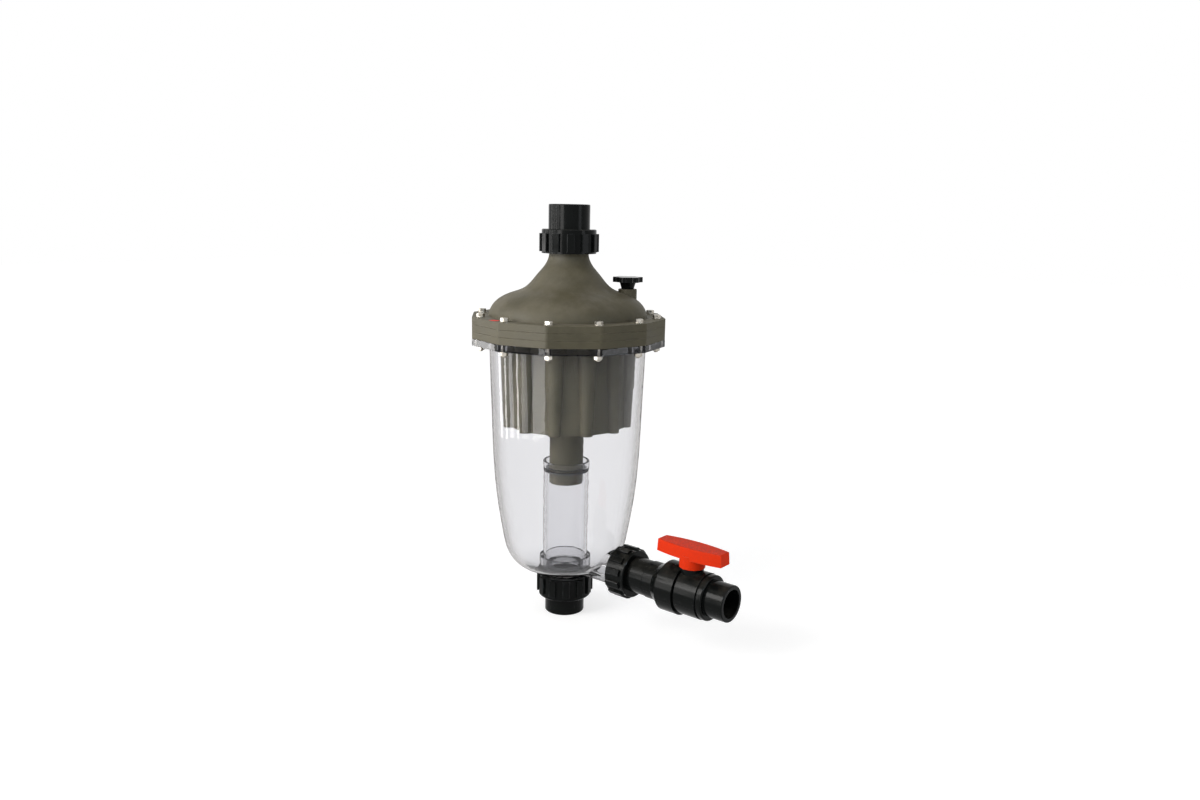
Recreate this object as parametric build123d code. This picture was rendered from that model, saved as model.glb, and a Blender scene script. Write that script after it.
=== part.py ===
from build123d import *
import os
from math import cos, hypot, pi, sin

# Centrifugal filter: a clear bowl under a domed lid, with a ring of small cyclones
# between them, a union at the top and at the bottom, and a ball valve as its drain.
# Millimetres. The inlet socket's mouth is at the origin, +Z is up, the drain is on +X.

# Flanged stack
COUNT = 12
BOWL_FLANGE = 12.4
PACK_RIM = 13.0
PLATE_RIM = 13.0
LID_RIM = 13.0
BOLT_FROM_BOWL = 20.1
BOLT_TO_CORNER = 16.4
RING_FROM_BOWL = 5.5
RING_SEAL = 5.0
FLANGE_EDGE = 1.0
RIM_EDGE = 0.5

# M8 fasteners
BOLT_R = 4.0
BOLT_HOLE_R = 4.5
HEAD_FLATS = 13.0
HEAD_H = 5.3
NUT_H = 6.5
WASHER_R = 8.0
WASHER_T = 1.6
BOLT_END = 2.5

# Main unions, for 63 mm pipe
PIPE_R = 31.5
PIPE_GAP = 0.1
SOCKET_DEPTH = 30.0
TAIL_R = 38.0
TAIL_BORE_R = 27.0
TAIL_FLANGE_T = 7.0
THREAD_R = 44.0
THREAD_L = 28.5
INLET_TAIL_OUT = 33.0
OUTLET_TAIL_OUT = 44.5
UNION_LUG_R = 54.5
UNION_CORE_R = 50.2
UNION_NUT_L = 43.5
UNION_NUT_WALL = 6.0
UNION_LUG_W = 14.0

# Drain union and ball valve, for 50 mm pipe
DRAIN_PIPE_R = 25.0
DRAIN_SOCKET_DEPTH = 28.0
DRAIN_TAIL_R = 32.5
DRAIN_BORE_R = 20.0
DRAIN_FLANGE_T = 6.0
DRAIN_THREAD_R = 38.0
DRAIN_THREAD_L = 28.0
DRAIN_TAIL_OUT = 35.5
DRAIN_LUG_R = 47.5
DRAIN_CORE_R = 43.6
DRAIN_NUT_L = 40.0
DRAIN_NUT_WALL = 5.0
DRAIN_LUG_W = 12.5

# Both kinds of union nut
LUGS = 12
NUT_CLOSED_BAND = 8.0
NUT_OPEN_BAND = 3.0
LOOSE = 0.3
FACE_RING = 2.0
MOUTH_EDGE = 1.2

# Bowl
NECK_L = 34.0
NECK_BORE_R = 28.0
BOWL_WALL = 5.0
BOWL_H = 447.0
BOWL_TOP_R = 145.5
BOWL_UPPER_IN = 3.5
BOWL_MID_IN = 11.9
BOWL_LOWER_IN = 25.5
BOWL_SHOULDER_IN = 36.5
BOWL_FLOOR_IN = 61.5
BOWL_UPPER_H = 334.0
BOWL_MID_H = 170.0
BOWL_LOWER_H = 79.5
BOWL_SHOULDER_H = 42.0
BOWL_FLOOR_H = 17.5
FLANGE_GUSSET = 5.0

# Drain port of the bowl
PORT_H = 36.5
PORT_BOSS_R = 32.0
PORT_BOSS_IN = 52.0
PORT_BORE_IN = 84.0
PORT_FROM_BOWL = 19.5
PORT_FACE_X = BOWL_TOP_R + PORT_FROM_BOWL

# Stand pipe in the bowl
STAND_R = 43.0
STAND_WALL = 5.0
STAND_FIT = 0.1
STAND_SEAT_H = 14.0
STAND_SOCKET_H = 18.0
STAND_SOCKET_R = 49.5
STAND_L = 188.0
SEAL_T = 3.0
COLLAR_R = 44.0
COLLAR_H = 17.0
COLLAR_WALL = 4.5
COLLAR_LIP = 4.0

# Riser pipe
RISER_R = 32.25
RISER_BORE_R = 28.5
RISER_BELOW_SEAL = 22.5
RISER_FLANGE_R = 38.0
RISER_FLANGE_T = 4.0
SLIP = 0.1

# Cyclone pack
CYCLONE_GAP = 11.3
CYCLONE_TOP_R = 18.2
CYCLONE_TIP_R = 11.0
CYCLONE_WALL = 3.0
CYCLONE_TIP_WALL = 3.5
CYCLONE_DROP = 166.0
PACK_WEB = 6.0
WEB_T = 2.6
CHAMBER_GAP = 7.8
SLOT_W = 6.0
SLOT_H = 8.0

# Vortex finder plate
PLATE_WEB = 7.0
FINDER_R = 9.0
FINDER_BORE_R = 6.5
FINDER_DROP = 43.0

# Lid
LID_WALL = 6.0
DOME_FROM_BOWL = 1.5
DOME_EDGE_IN = 8.0
DOME_EDGE_H = 19.5
DOME_SHOULDER_R = 108.0
DOME_SHOULDER_H = 40.0
DOME_FLARE_R = 81.5
DOME_FLARE_H = 50.5
DOME_FUNNEL_R = 56.5
DOME_FUNNEL_H = 77.0
DOME_THROAT_R = 42.5
DOME_THROAT_H = 94.5
DOME_NECK_R = 36.3
DOME_NECK_H = 114.0
LID_NECK_BORE_R = 28.0

# Bleed valve on the lid
BLEED_ANGLE = 45.0
BLEED_RING_R = 110.0
BLEED_BOSS_R = 17.3
BLEED_BOSS_H = 50.0
BLEED_SCREW_R = 6.0
BLEED_SCREW_L = 26.0
KNOB_GAP = 0.3
KNOB_FOOT_R = 11.5
KNOB_HUB_R = 15.3
KNOB_HUB_H = 12.5
KNOB_RIM_H = 9.6
KNOB_R = 28.0
KNOB_LOBE_R = 8.0
KNOB_VALLEY_R = 23.5
KNOB_LOBES = 6

# Ball valve
VALVE_NOSE_R = 34.0
VALVE_NOSE_L = 20.5
VALVE_BULGE_R = 45.5
VALVE_SHOULDER_L = 17.0
VALVE_BULGE_L = 35.0
VALVE_BARREL_R = 41.5
VALVE_GROOVE_W = 3.0
VALVE_GROOVE_R = 39.0
BALL_R = 27.0
BALL_BORE_R = 19.0
BALL_FROM_BODY = 85.5
SEAT_T = 7.0
SEAT_IN = 13.0
BALL_GAP = 0.3
CAVITY_R = 28.0
END_COLLAR_R = 40.5
END_COLLAR_L = 10.0
END_TUBE_R = 32.6
END_TUBE_L = 37.0
PLUG_GAP = 0.1
PLUG_STEP = 16.0
STEM_R = 7.5
STEM_GAP = 0.05
STEM_BOSS_R = 21.0
STEM_BOSS_H = 46.5
STEM_SQUARE = 10.0
STEM_TOP_H = 74.0
STEM_TONGUE = 6.0
STEM_RING_R = 1.0
STEM_RING_H = 37.0

# Handle
HANDLE_L = 134.0
HANDLE_END_W = 27.0
HANDLE_MID_W = 44.0
HANDLE_BAR_H = 22.0
HANDLE_TOP_H = 86.0
HANDLE_WALL = 3.0
HANDLE_HUB_R = 23.0
HANDLE_EDGE = 1.5
HANDLE_GAP = 0.5

# Heights of the stack, from the inlet socket's mouth upwards
INLET_FACE_Z = INLET_TAIL_OUT + UNION_NUT_WALL + TAIL_FLANGE_T
BASE_Z = INLET_FACE_Z + NECK_L
PACK_Z = BASE_Z + BOWL_H + BOWL_FLANGE
PLATE_Z = PACK_Z + PACK_RIM
LID_Z = PLATE_Z + PLATE_RIM
LID_TOP_Z = LID_Z + LID_RIM
OUTLET_FACE_Z = LID_TOP_Z + DOME_NECK_H + THREAD_L + 2.0
VALVE_Z = BASE_Z + PORT_H
VALVE_X = PORT_FACE_X + DRAIN_FLANGE_T + DRAIN_NUT_WALL + DRAIN_TAIL_OUT
BALL_X = VALVE_X + BALL_FROM_BODY
STAND_Z = BASE_Z + STAND_SEAT_H
SEAL_Z = STAND_Z + STAND_L
RISER_TOP_Z = PACK_Z + PACK_WEB + RISER_FLANGE_T
SIDE_STEP = 360.0 / COUNT

# Radii of the stack, from the bowl's top outwards and inwards
BOLT_CIRCLE_R = BOWL_TOP_R + BOLT_FROM_BOWL
FLANGE_R = BOLT_CIRCLE_R + BOLT_TO_CORNER
RING_SEAL_R = BOWL_TOP_R + RING_FROM_BOWL
DOME_FOOT_R = BOWL_TOP_R + DOME_FROM_BOWL
DOME_EDGE_R = DOME_FOOT_R - DOME_EDGE_IN
CYCLONE_RING_R = BOWL_TOP_R - BOWL_WALL - CYCLONE_GAP - CYCLONE_TOP_R
CHAMBER_R = CYCLONE_RING_R + CYCLONE_TOP_R + CHAMBER_GAP


def revolved(points):
    """Solid of revolution about Z from (radius, height) corners."""
    outline = Polyline(*[(r, 0, z) for r, z in points], close=True)
    return revolve(make_face(outline), axis=Axis.Z)


def tube(radius, bore, low, high):
    """Plain tube about Z between two heights."""
    return revolved([(bore, low), (radius, low), (radius, high), (bore, high)])


def inset(points, wall):
    """Points moved inwards by a wall, square to the line through their neighbours."""
    moved = []
    for i, (r, z) in enumerate(points):
        before = points[max(i - 1, 0)]
        after = points[min(i + 1, len(points) - 1)]
        dr = after[0] - before[0]
        dz = after[1] - before[1]
        length = hypot(dr, dz)
        moved.append((r - wall * dz / length, z + wall * dr / length))
    return moved


def around(shape, radius, count=COUNT, first=0.0):
    """Copies of a shape set out on a circle about Z."""
    copies = []
    for i in range(count):
        turn = first + i * 360.0 / count
        copies.append(Rot(0, 0, turn) * Pos(radius, 0, 0) * shape)
    return copies


def flange_plate(low, high):
    """Twelve-sided plate with its corners over the bolts."""
    outline = RegularPolygon(FLANGE_R, COUNT, major_radius=True)
    plate = Pos(0, 0, low) * extrude(outline, high - low)
    plate = chamfer(plate.edges().filter_by(Axis.Z), FLANGE_EDGE)
    faces = plate.faces().sort_by(Axis.Z)
    return chamfer(faces[0].edges() + faces[-1].edges(), RIM_EDGE)


def bolt_holes(low, high):
    hole = Pos(0, 0, (low + high) / 2) * Cylinder(BOLT_HOLE_R, high - low + 2)
    return around(hole, BOLT_CIRCLE_R)


def ring_groove(low):
    """Square groove for a seal ring, open at its foot."""
    half = RING_SEAL / 2
    return tube(RING_SEAL_R + half, RING_SEAL_R - half, low, low + RING_SEAL)


def o_ring(radius, section, height):
    return Pos(0, 0, height) * Torus(radius, section)


def socket_tail(tail_r, bore_r, pipe_r, depth, flange_r, flange_t, length):
    """Union tail about Z: its flange is at zero and its socket opens upwards."""
    socket_r = pipe_r + PIPE_GAP
    return revolved([
        (bore_r, 0), (flange_r, 0), (flange_r, flange_t), (tail_r, flange_t),
        (tail_r, length - MOUTH_EDGE), (tail_r - MOUTH_EDGE, length), (socket_r, length),
        (socket_r, length - depth), (bore_r, length - depth)])


def union_nut(core_r, lug_r, lug_w, length, wall, thread_r, tail_r):
    """Lugged nut about Z, its closed end on top and its outer face at zero."""
    inner = thread_r + LOOSE
    body = revolved([
        (tail_r + LOOSE, -wall), (inner, -wall), (inner, -length), (core_r, -length),
        (core_r, -1.5), (core_r - 1.5, 0), (tail_r + LOOSE, 0)])
    lug_l = length - NUT_CLOSED_BAND - NUT_OPEN_BAND
    middle = -NUT_CLOSED_BAND - lug_l / 2
    depth = lug_r - inner - 1.0
    lug = Pos(-depth / 2, 0, middle) * Box(depth, lug_w, lug_l)
    lug = chamfer(lug.edges().filter_by(Axis.Z).sort_by(Axis.X)[-2:], 1.2)
    return body + around(lug, lug_r, LUGS, 180.0 / LUGS)


def face_groove(bore_r, thread_r):
    """Radius of the seal ring in the end face of a neck."""
    return (bore_r + thread_r) / 2


def neck(bore_r, thread_r, length):
    """Threaded neck about Z, its sealing face at zero and its foot below."""
    ring_r = face_groove(bore_r, thread_r)
    body = revolved([
        (bore_r, -length), (thread_r, -length), (thread_r, -1.5), (thread_r - 1.5, 0), (bore_r, 0)])
    return body - tube(ring_r + FACE_RING, ring_r - FACE_RING, -2 * FACE_RING, 0)


def neck_ring(bore_r, thread_r):
    return o_ring(face_groove(bore_r, thread_r), FACE_RING, -FACE_RING)


def bowl_curve():
    """Outer curve of the bowl from its floor to its flange."""
    return [
        (BOWL_TOP_R - BOWL_FLOOR_IN, BASE_Z + BOWL_FLOOR_H),
        (BOWL_TOP_R - BOWL_SHOULDER_IN, BASE_Z + BOWL_SHOULDER_H),
        (BOWL_TOP_R - BOWL_LOWER_IN, BASE_Z + BOWL_LOWER_H),
        (BOWL_TOP_R - BOWL_MID_IN, BASE_Z + BOWL_MID_H),
        (BOWL_TOP_R - BOWL_UPPER_IN, BASE_Z + BOWL_UPPER_H),
        (BOWL_TOP_R, BASE_Z + BOWL_H)]


def bowl_body(points, foot_r, foot_z, high):
    """Filled bowl about Z: a flat cone as its floor, then the curved wall."""
    start = points[0]
    slope = (start[0] - foot_r, 0, start[1] - foot_z)
    curve = Spline(*[(r, 0, z) for r, z in points], tangents=[slope, (0.01, 0, 1)],
                   tangent_scalars=[1, 1])
    end = points[-1]
    rest = Polyline((end[0], 0, end[1]), (end[0], 0, high), (0, 0, high), (0, 0, foot_z),
                    (foot_r, 0, foot_z), (start[0], 0, start[1]))
    return revolve(make_face([curve, rest]), axis=Axis.Z)


def to_drain(shape):
    """Turns a shape from +Z onto the drain's axis along +X."""
    return Pos(0, 0, VALVE_Z) * Rot(0, 90, 0) * shape


def bowl():
    top = BASE_Z + BOWL_H
    outer = bowl_curve()
    inner = inset(outer, BOWL_WALL)
    body = bowl_body(outer, THREAD_R, BASE_Z, top + BOWL_FLANGE)
    body += to_drain(Pos(0, 0, (PORT_BOSS_IN + PORT_FACE_X) / 2 - DRAIN_THREAD_L / 2)
                     * Cylinder(PORT_BOSS_R, PORT_FACE_X - DRAIN_THREAD_L - PORT_BOSS_IN))
    cavity = bowl_body(inner, NECK_BORE_R, BASE_Z + BOWL_WALL, top + BOWL_FLANGE + 1)
    body += flange_plate(top, top + BOWL_FLANGE)
    body += revolved([(BOWL_TOP_R - 1, top - FLANGE_GUSSET), (BOWL_TOP_R, top - FLANGE_GUSSET),
                      (BOWL_TOP_R + FLANGE_GUSSET, top), (BOWL_TOP_R - 1, top)])
    body -= cavity
    body += tube(STAND_SOCKET_R, NECK_BORE_R, BASE_Z + BOWL_WALL, STAND_Z)
    body += tube(STAND_SOCKET_R, STAND_R + STAND_FIT, STAND_Z, STAND_Z + STAND_SOCKET_H)
    body += Pos(0, 0, INLET_FACE_Z) * Rot(180, 0, 0) * neck(NECK_BORE_R, THREAD_R, NECK_L)
    body -= Pos(0, 0, BASE_Z) * Cylinder(NECK_BORE_R, 4 * BOWL_WALL)
    body += to_drain(Pos(0, 0, PORT_FACE_X) * neck(DRAIN_BORE_R, DRAIN_THREAD_R, DRAIN_THREAD_L))
    bore_l = PORT_FACE_X - PORT_BORE_IN
    body -= to_drain(Pos(0, 0, PORT_BORE_IN + bore_l / 2) * Cylinder(DRAIN_BORE_R, bore_l))
    return body - bolt_holes(top, top + BOWL_FLANGE)


def standpipe():
    return tube(STAND_R, STAND_R - STAND_WALL, STAND_Z, SEAL_Z)


def riser_seal_ring():
    return tube(STAND_R, RISER_R + SLIP, SEAL_Z, SEAL_Z + SEAL_T)


def standpipe_collar():
    low = SEAL_Z + SEAL_T
    bore = RISER_R + SLIP
    mouth = COLLAR_R - COLLAR_WALL
    return revolved([
        (bore, low), (COLLAR_R, low), (COLLAR_R, low + COLLAR_H - 1), (COLLAR_R - 1, low + COLLAR_H),
        (mouth + 1, low + COLLAR_H), (mouth, low + COLLAR_H - 1), (mouth, low + COLLAR_LIP),
        (bore, low + COLLAR_LIP)])


def riser_pipe():
    low = SEAL_Z - RISER_BELOW_SEAL
    seat = PACK_Z + PACK_WEB
    return revolved([
        (RISER_BORE_R, low), (RISER_R - 1, low), (RISER_R, low + 1), (RISER_R, seat),
        (RISER_FLANGE_R, seat), (RISER_FLANGE_R, RISER_TOP_Z), (RISER_BORE_R, RISER_TOP_Z)])


def cyclone_bore():
    """Hollow of one cyclone, from above the chamber to below its tip."""
    top_r = CYCLONE_TOP_R - CYCLONE_WALL
    tip_r = CYCLONE_TIP_R - CYCLONE_TIP_WALL
    tip_z = PACK_Z - CYCLONE_DROP
    barrel_z = PLATE_Z - FINDER_DROP
    return revolved([(0, tip_z - 1), (tip_r, tip_z - 1), (tip_r, tip_z + 8), (top_r, barrel_z),
                     (top_r, PLATE_Z + PLATE_RIM), (0, PLATE_Z + PLATE_RIM)])


def cyclone_pack():
    tip_z = PACK_Z - CYCLONE_DROP
    chamber_top = LID_Z - PLATE_WEB
    body = flange_plate(PACK_Z, PLATE_Z)
    body -= tube(CHAMBER_R, 0, PACK_Z + PACK_WEB, PLATE_Z + 1)
    cone = revolved([(0, tip_z), (CYCLONE_TIP_R, tip_z), (CYCLONE_TOP_R, PACK_Z),
                     (CYCLONE_TOP_R, chamber_top), (0, chamber_top)])
    body += around(cone, CYCLONE_RING_R)
    pitch = 2 * CYCLONE_RING_R * sin(pi / COUNT)
    web = Pos(0, 0, PACK_Z - CYCLONE_DROP / 2) * Box(WEB_T, pitch, CYCLONE_DROP)
    body += around(web, CYCLONE_RING_R * cos(pi / COUNT), COUNT, SIDE_STEP / 2)
    body -= around(cyclone_bore(), CYCLONE_RING_R)
    slot_r = CYCLONE_TOP_R - CYCLONE_WALL - SLOT_W / 2
    slot = Pos(-slot_r, CYCLONE_TOP_R / 2 + 2, chamber_top - SLOT_H / 2 - 1)
    body -= around(slot * Box(SLOT_W, CYCLONE_TOP_R + 4, SLOT_H), CYCLONE_RING_R)
    body -= Pos(0, 0, PACK_Z) * Cylinder(RISER_R + SLIP, 4 * PACK_RIM)
    return body - bolt_holes(PACK_Z, PLATE_Z) - ring_groove(PACK_Z)


def rim_ring(low):
    """Seal ring lying in a rim's groove."""
    section = RING_SEAL / 2
    return o_ring(RING_SEAL_R, section, low + section)


def bowl_o_ring():
    return rim_ring(PACK_Z)


def plate_o_ring():
    return rim_ring(PLATE_Z)


def lid_o_ring():
    return rim_ring(LID_Z)


def vortex_finder_plate():
    web_z = LID_Z - PLATE_WEB
    body = flange_plate(PLATE_Z, LID_Z) - tube(CHAMBER_R, 0, PLATE_Z - 1, web_z)
    finder = revolved([(FINDER_BORE_R, web_z - FINDER_DROP), (FINDER_R - 1, web_z - FINDER_DROP),
                       (FINDER_R, web_z), (FINDER_BORE_R, web_z)])
    body += around(finder, CYCLONE_RING_R)
    hole = Pos(0, 0, web_z) * Cylinder(FINDER_BORE_R, 4 * PLATE_WEB)
    body -= around(hole, CYCLONE_RING_R)
    return body - bolt_holes(PLATE_Z, LID_Z) - ring_groove(PLATE_Z)


def lid_curve():
    """Outer curve of the dome from its neck down to its foot."""
    return [
        (DOME_NECK_R, LID_TOP_Z + DOME_NECK_H),
        (DOME_THROAT_R, LID_TOP_Z + DOME_THROAT_H),
        (DOME_FUNNEL_R, LID_TOP_Z + DOME_FUNNEL_H),
        (DOME_FLARE_R, LID_TOP_Z + DOME_FLARE_H),
        (DOME_SHOULDER_R, LID_TOP_Z + DOME_SHOULDER_H),
        (DOME_EDGE_R, LID_TOP_Z + DOME_EDGE_H),
        (DOME_FOOT_R, LID_TOP_Z)]


def lid_solid(points, high, low):
    """Filled dome about Z with an upright neck and an upright foot."""
    curve = Spline(*[(r, 0, z) for r, z in points], tangents=[(0, 0, -1), (0.1, 0, -1)],
                   tangent_scalars=[1, 1])
    top = points[0]
    foot = points[-1]
    rest = Polyline((foot[0], 0, foot[1]), (foot[0], 0, low), (0, 0, low), (0, 0, high),
                    (top[0], 0, high), (top[0], 0, top[1]))
    return revolve(make_face([curve, rest]), axis=Axis.Z)


def lid_dome():
    neck_z = LID_TOP_Z + DOME_NECK_H
    outer = lid_curve()
    inner = [(r, z) for r, z in inset(outer[::-1], LID_WALL)[::-1]]
    inner[0] = (LID_NECK_BORE_R, outer[0][1])
    inner[-1] = (outer[-1][0] - LID_WALL, outer[-1][1])
    body = lid_solid(outer, neck_z + 2, LID_Z)
    boss_h = BLEED_BOSS_H - LID_RIM
    boss = Pos(0, 0, LID_TOP_Z + BLEED_BOSS_H - boss_h / 2) * Cylinder(BLEED_BOSS_R, boss_h)
    boss = chamfer(boss.edges().sort_by(Axis.Z)[-1], 1.0)
    body += Rot(0, 0, BLEED_ANGLE) * Pos(BLEED_RING_R, 0, 0) * boss
    body -= lid_solid(inner, neck_z + 3, LID_Z - 1)
    body += flange_plate(LID_Z, LID_TOP_Z) - tube(outer[-1][0] - LID_WALL, 0, LID_Z - 1, LID_TOP_Z + 1)
    body += Pos(0, 0, OUTLET_FACE_Z) * neck(LID_NECK_BORE_R, THREAD_R, THREAD_L)
    guide = Pos(0, 0, LID_TOP_Z + BLEED_BOSS_H - BLEED_SCREW_L / 2)
    guide = guide * Cylinder(BLEED_SCREW_R + STEM_GAP, BLEED_SCREW_L + 2)
    body -= Rot(0, 0, BLEED_ANGLE) * Pos(BLEED_RING_R, 0, 0) * guide
    return body - bolt_holes(LID_Z, LID_TOP_Z) - ring_groove(LID_Z)


def main_tail(out):
    length = TAIL_FLANGE_T + UNION_NUT_WALL + out
    flange_r = THREAD_R - LOOSE
    return socket_tail(TAIL_R, TAIL_BORE_R, PIPE_R, SOCKET_DEPTH, flange_r, TAIL_FLANGE_T, length)


def main_nut():
    return union_nut(UNION_CORE_R, UNION_LUG_R, UNION_LUG_W, UNION_NUT_L, UNION_NUT_WALL,
                     THREAD_R, TAIL_R)


def at_inlet(shape):
    """Turns a union piece over and sets it on the bowl's neck."""
    return Pos(0, 0, INLET_FACE_Z) * Rot(180, 0, 0) * shape


def at_outlet(shape):
    return Pos(0, 0, OUTLET_FACE_Z) * shape


def at_port(shape):
    return to_drain(Pos(0, 0, PORT_FACE_X) * shape)


def inlet_tail():
    return at_inlet(main_tail(INLET_TAIL_OUT))


def inlet_union_nut():
    return at_inlet(Pos(0, 0, TAIL_FLANGE_T + UNION_NUT_WALL) * main_nut())


def inlet_o_ring():
    return at_inlet(neck_ring(NECK_BORE_R, THREAD_R))


def outlet_tail():
    return at_outlet(main_tail(OUTLET_TAIL_OUT))


def outlet_union_nut():
    return at_outlet(Pos(0, 0, TAIL_FLANGE_T + UNION_NUT_WALL) * main_nut())


def outlet_o_ring():
    return at_outlet(neck_ring(LID_NECK_BORE_R, THREAD_R))


def drain_tail():
    length = DRAIN_FLANGE_T + DRAIN_NUT_WALL + DRAIN_TAIL_OUT
    flange_r = DRAIN_THREAD_R - LOOSE
    return at_port(socket_tail(DRAIN_TAIL_R, DRAIN_BORE_R, DRAIN_PIPE_R, DRAIN_SOCKET_DEPTH,
                               flange_r, DRAIN_FLANGE_T, length))


def drain_union_nut():
    nut = union_nut(DRAIN_CORE_R, DRAIN_LUG_R, DRAIN_LUG_W, DRAIN_NUT_L, DRAIN_NUT_WALL,
                    DRAIN_THREAD_R, DRAIN_TAIL_R)
    return at_port(Pos(0, 0, DRAIN_FLANGE_T + DRAIN_NUT_WALL) * nut)


def drain_o_ring():
    return at_port(neck_ring(DRAIN_BORE_R, DRAIN_THREAD_R))


def drain_nipple():
    """Short pipe glued into the tail on one side and into the valve on the other."""
    low = VALVE_X - DRAIN_SOCKET_DEPTH
    return to_drain(tube(DRAIN_PIPE_R, DRAIN_BORE_R, low, VALVE_X + DRAIN_SOCKET_DEPTH))


def at_ball(shape):
    """Sets a shape with its centre at the ball's centre."""
    return Pos(BALL_X, 0, VALVE_Z) * shape


def valve_body():
    bulge = VALVE_NOSE_L + VALVE_SHOULDER_L
    groove = bulge + VALVE_BULGE_L
    end = BALL_FROM_BODY + SEAT_IN + SEAT_T + PLUG_STEP
    seat = BALL_FROM_BODY - SEAT_IN - SEAT_T
    socket_r = DRAIN_PIPE_R + PIPE_GAP
    body = revolved([
        (socket_r, 0), (VALVE_NOSE_R - 1, 0), (VALVE_NOSE_R, 1), (VALVE_NOSE_R, VALVE_NOSE_L),
        (VALVE_BULGE_R - 5, bulge - 5), (VALVE_BULGE_R, bulge), (VALVE_BULGE_R, groove),
        (VALVE_GROOVE_R, groove), (VALVE_GROOVE_R, groove + VALVE_GROOVE_W),
        (VALVE_BARREL_R, groove + VALVE_GROOVE_W), (VALVE_BARREL_R, end - VALVE_GROOVE_W),
        (VALVE_GROOVE_R, end - VALVE_GROOVE_W), (VALVE_GROOVE_R, end), (CAVITY_R, end),
        (CAVITY_R, seat), (DRAIN_BORE_R, seat), (DRAIN_BORE_R, DRAIN_SOCKET_DEPTH),
        (socket_r, DRAIN_SOCKET_DEPTH)])
    body = to_drain(Pos(0, 0, VALVE_X) * body)
    boss_h = STEM_BOSS_H - CAVITY_R
    boss = Pos(0, 0, CAVITY_R + boss_h / 2) * Cylinder(STEM_BOSS_R, boss_h)
    boss = chamfer(boss.edges().sort_by(Axis.Z)[-1], 1.0)
    body += at_ball(boss)
    body -= to_drain(Pos(0, 0, VALVE_X + seat + CAVITY_R) * Cylinder(CAVITY_R, 2 * CAVITY_R))
    body -= at_ball(Pos(0, 0, STEM_BOSS_H / 2) * Cylinder(STEM_R + STEM_GAP, STEM_BOSS_H + 2))
    return body


def valve_end():
    """End connector: its plug holds the seat, its collar meets the body, its socket is the drain."""
    seat = BALL_FROM_BODY + SEAT_IN + SEAT_T
    collar = seat + PLUG_STEP
    tube_z = collar + END_COLLAR_L
    mouth = tube_z + END_TUBE_L
    plug_r = CAVITY_R - PLUG_GAP
    socket_r = DRAIN_PIPE_R + PIPE_GAP
    shoulder_z = mouth - DRAIN_SOCKET_DEPTH
    shape = revolved([
        (BALL_BORE_R, seat), (plug_r, seat), (plug_r, collar), (END_COLLAR_R, collar),
        (END_COLLAR_R, tube_z - 2), (END_COLLAR_R - 2, tube_z), (END_TUBE_R, tube_z),
        (END_TUBE_R, mouth - MOUTH_EDGE), (END_TUBE_R - MOUTH_EDGE, mouth), (socket_r, mouth),
        (socket_r, shoulder_z), (BALL_BORE_R, shoulder_z)])
    return to_drain(Pos(0, 0, VALVE_X) * shape)


def valve_ball():
    ball = Sphere(BALL_R) - Rot(0, 90, 0) * Cylinder(BALL_BORE_R, 3 * BALL_R)
    slot_h = BALL_R - STEM_TONGUE / 2
    slot = Pos(0, 0, BALL_R) * Box(3 * STEM_TONGUE, STEM_TONGUE + 2 * STEM_GAP, 2 * (BALL_R - slot_h))
    return at_ball(ball - slot)


def valve_seats():
    plug_r = CAVITY_R - PLUG_GAP
    ring = tube(plug_r, BALL_BORE_R - 0.5, SEAT_IN, SEAT_IN + SEAT_T) - Sphere(BALL_R + BALL_GAP)
    return at_ball(Rot(0, 90, 0) * ring) + at_ball(Rot(0, -90, 0) * ring)


def valve_stem():
    neck_r = STEM_R - 2 * STEM_RING_R
    tongue_z = BALL_R - STEM_TONGUE / 2
    stem = revolved([
        (0, BALL_R), (STEM_R, BALL_R), (STEM_R, STEM_RING_H - STEM_RING_R),
        (neck_r, STEM_RING_H - STEM_RING_R), (neck_r, STEM_RING_H + STEM_RING_R),
        (STEM_R, STEM_RING_H + STEM_RING_R), (STEM_R, STEM_BOSS_H + HANDLE_GAP),
        (0, STEM_BOSS_H + HANDLE_GAP)])
    tongue_h = BALL_R - tongue_z + 0.5
    stem += Pos(0, 0, tongue_z + tongue_h / 2) * Box(2 * STEM_TONGUE, STEM_TONGUE, tongue_h)
    low = STEM_BOSS_H
    square = Box(STEM_SQUARE, STEM_SQUARE, STEM_TOP_H - low)
    return at_ball(stem + Pos(0, 0, (low + STEM_TOP_H) / 2) * square)


def stem_o_ring():
    return at_ball(o_ring(STEM_R - STEM_RING_R, STEM_RING_R, STEM_RING_H))


def handle_outline(wall):
    """Plan of the handle: straight ends, sides bowed out to the middle."""
    x = HANDLE_L / 2 - wall
    y = HANDLE_END_W / 2 - wall
    mid = HANDLE_MID_W / 2 - wall
    near = ThreePointArc((-x, -y), (0, -mid), (x, -y))
    far = ThreePointArc((x, y), (0, mid), (-x, y))
    return make_face([near, Line((x, -y), (x, y)), far, Line((-x, y), (-x, -y))])


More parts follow.
